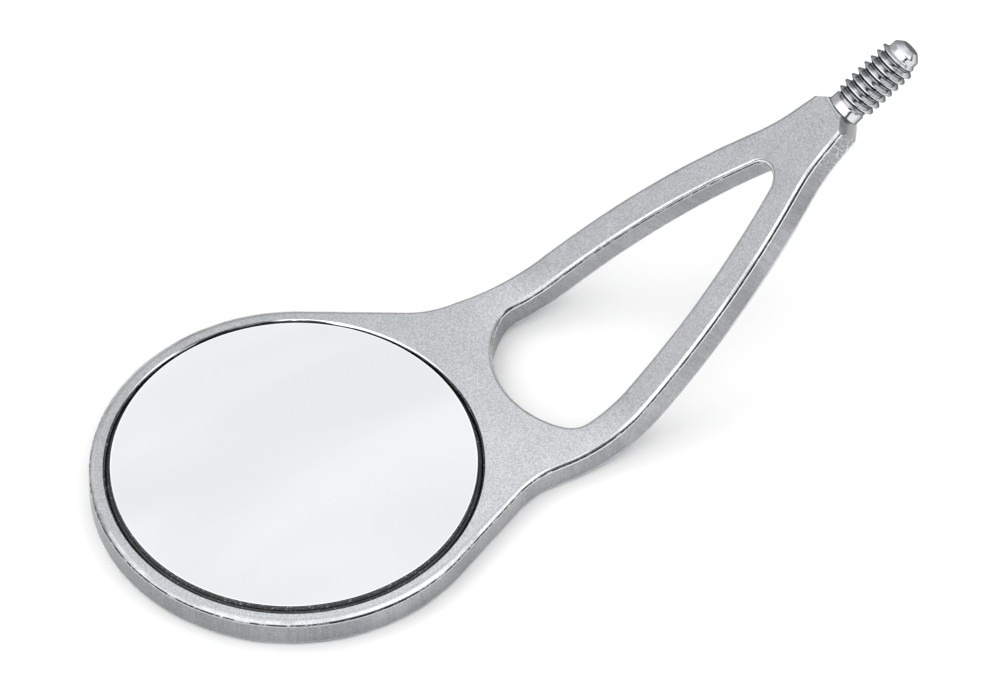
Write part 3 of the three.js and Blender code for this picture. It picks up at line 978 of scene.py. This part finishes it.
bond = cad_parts["bond_layer"]
bond.data.materials.clear()
bond.data.materials.append(adhesive())

for piece, node, slot in (
    (frame_body, "mirror_frame", "satin_steel"),
    (stud, "threaded_stud", "bright_steel"),
    (glass, "mirror_glass", "plain_glass"),
    (film, "reflective_coating", "mirror_film"),
    (seal, "edge_seal", "dark_seal"),
):
    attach(piece, "root")
    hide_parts(node)

# ---- Floor ---------------------------------------------------------------------------
FLOOR_HALF = 4.0
FLOOR_Z = -0.00002
FLOOR_COLOR = (0.93, 0.93, 0.93, 1)
bm = bmesh.new()
floor_corners = []
for x, y in ((-1, -1), (1, -1), (1, 1), (-1, 1)):
    floor_corners.append(bm.verts.new((x * FLOOR_HALF, y * FLOOR_HALF, FLOOR_Z)))
bm.faces.new(floor_corners)
pale = bpy.data.materials.new("pale_floor")
pale.use_nodes = True
pale_shader = pale.node_tree.nodes["Principled BSDF"]
pale_shader.inputs["Base Color"].default_value = FLOOR_COLOR
pale_shader.inputs["Roughness"].default_value = 0.9
pale_shader.inputs["Specular IOR Level"].default_value = 0.1
floor = new_object("floor", bm, [pale])

# ---- Camera --------------------------------------------------------------------------
# The angles and the scale were measured on the mirror's ellipse. The distance is a
# long one that fits the nearly parallel view.
VIEW_ELEVATION = math.radians(50.06)
VIEW_AZIMUTH = math.radians(25.0)
VIEW_ROLL = math.radians(1.46)
PIXELS_PER_MM = 16.77
IMAGE_WIDTH = 995
CAMERA_DISTANCE = 1500 * MM
SENSOR_WIDTH = 36
AIM_RIGHT = 12.146
AIM_UP = 7.110
CLIP_START = 0.01
CLIP_END = 20

level_right = Vector((math.cos(VIEW_AZIMUTH), -math.sin(VIEW_AZIMUTH), 0))
level_up = Vector(
    (
        math.sin(VIEW_ELEVATION) * math.sin(VIEW_AZIMUTH),
        math.sin(VIEW_ELEVATION) * math.cos(VIEW_AZIMUTH),
        math.cos(VIEW_ELEVATION),
    )
)
right = level_right * math.cos(VIEW_ROLL) - level_up * math.sin(VIEW_ROLL)
up = level_right * math.sin(VIEW_ROLL) + level_up * math.cos(VIEW_ROLL)
back = right.cross(up)
aim = Vector((0, 0, FACE_Z)) + right * AIM_RIGHT + up * AIM_UP
camera_data = bpy.data.cameras.new("camera")
camera = bpy.data.objects.new("camera", camera_data)
bpy.context.scene.collection.objects.link(camera)
turn = Matrix((right, up, back)).transposed()
stand = Matrix.Translation(aim * MM + back * CAMERA_DISTANCE)
camera.matrix_world = stand @ turn.to_4x4()
camera_data.sensor_width = SENSOR_WIDTH
camera_data.lens = PIXELS_PER_MM * CAMERA_DISTANCE / MM / IMAGE_WIDTH * SENSOR_WIDTH
camera_data.clip_start = CLIP_START
camera_data.clip_end = CLIP_END
bpy.context.scene.camera = camera

# ---- Light ---------------------------------------------------------------------------
WORLD_STRENGTH = 0.95
KEY_POWER = 0.8
POOL_POWER = 0.006
scene = bpy.context.scene
scene.view_settings.view_transform = "Standard"
scene.view_settings.look = "None"

world = bpy.data.worlds.new("studio")
scene.world = world
world.use_nodes = True
nodes, links = world.node_tree.nodes, world.node_tree.links
background = nodes["Background"]


def world_math(operation, a, b=0.0):
    node = nodes.new("ShaderNodeMath")
    node.operation = operation
    for socket, value in zip(node.inputs, (a, b)):
        if isinstance(value, bpy.types.NodeSocket):
            links.new(value, socket)
        else:
            socket.default_value = value
    return node.outputs[0]


def world_ramp(value, low, high, out_low, out_high):
    node = nodes.new("ShaderNodeMapRange")
    node.interpolation_type = "SMOOTHSTEP"
    links.new(value, node.inputs["Value"])
    for i, number in enumerate((low, high, out_low, out_high)):
        node.inputs[i + 1].default_value = number
    return node.outputs["Result"]


direction = nodes.new("ShaderNodeTexCoord").outputs["Generated"]


def world_dot(axis):
    node = nodes.new("ShaderNodeVectorMath")
    node.operation = "DOT_PRODUCT"
    links.new(direction, node.inputs[0])
    node.inputs[1].default_value = Vector(axis).normalized()
    return node.outputs["Value"]


def world_mix(share, a, b):
    change = world_math("MULTIPLY", share, world_math("SUBTRACT", b, a))
    return world_math("ADD", a, change)


# A made-up studio, set by trial so that the metal's tones come near the photo's: bright
# panels above a dark gap on the camera's side, a dark patch where a photographer would
# stand, and an even far side.
height = world_dot((0, 0, 1))
near_side = world_ramp(world_dot((back.x, back.y, 0)), -0.25, 0.2, 0.0, 1.0)
far_level = world_ramp(height, 0.4, 1.0, 0.62, 1.4)
panel_foot = world_ramp(height, 0.16, 0.25, 0.05, 1.8)
panel_head = world_ramp(height, 0.84, 0.97, 1.0, 0.8)
near_level = world_math("MULTIPLY", panel_foot, panel_head)
photographer = world_ramp(world_dot((0.15, -0.85, 0.5)), 0.86, 0.95, 1.0, 0.15)
near_level = world_math("MULTIPLY", near_level, photographer)
links.new(world_mix(near_side, far_level, near_level), background.inputs["Color"])
background.inputs["Strength"].default_value = WORLD_STRENGTH


def softbox(name, place, target, size, power):
    data = bpy.data.lights.new(name, "AREA")
    data.shape = "RECTANGLE"
    data.size, data.size_y = size
    data.energy = power
    lamp = bpy.data.objects.new(name, data)
    scene.collection.objects.link(lamp)
    lamp.location = place
    lamp.rotation_mode = "QUATERNION"
    lamp.rotation_quaternion = (Vector(target) - Vector(place)).to_track_quat("-Z", "Y")
    return lamp


key = softbox("key", (-0.25, 0.35, 0.75), (0.015, 0, 0), (0.5, 0.5), KEY_POWER)
key.visible_glossy = False
# A low lamp makes a brighter patch of floor to the front right, for the walls and stud.
pool_place, pool_target = (0.035, -0.060, 0.09), (0.03, -0.055, 0)
pool = softbox("pool", pool_place, pool_target, (0.05, 0.05), POOL_POWER)
pool.visible_glossy = False
pool.visible_camera = False
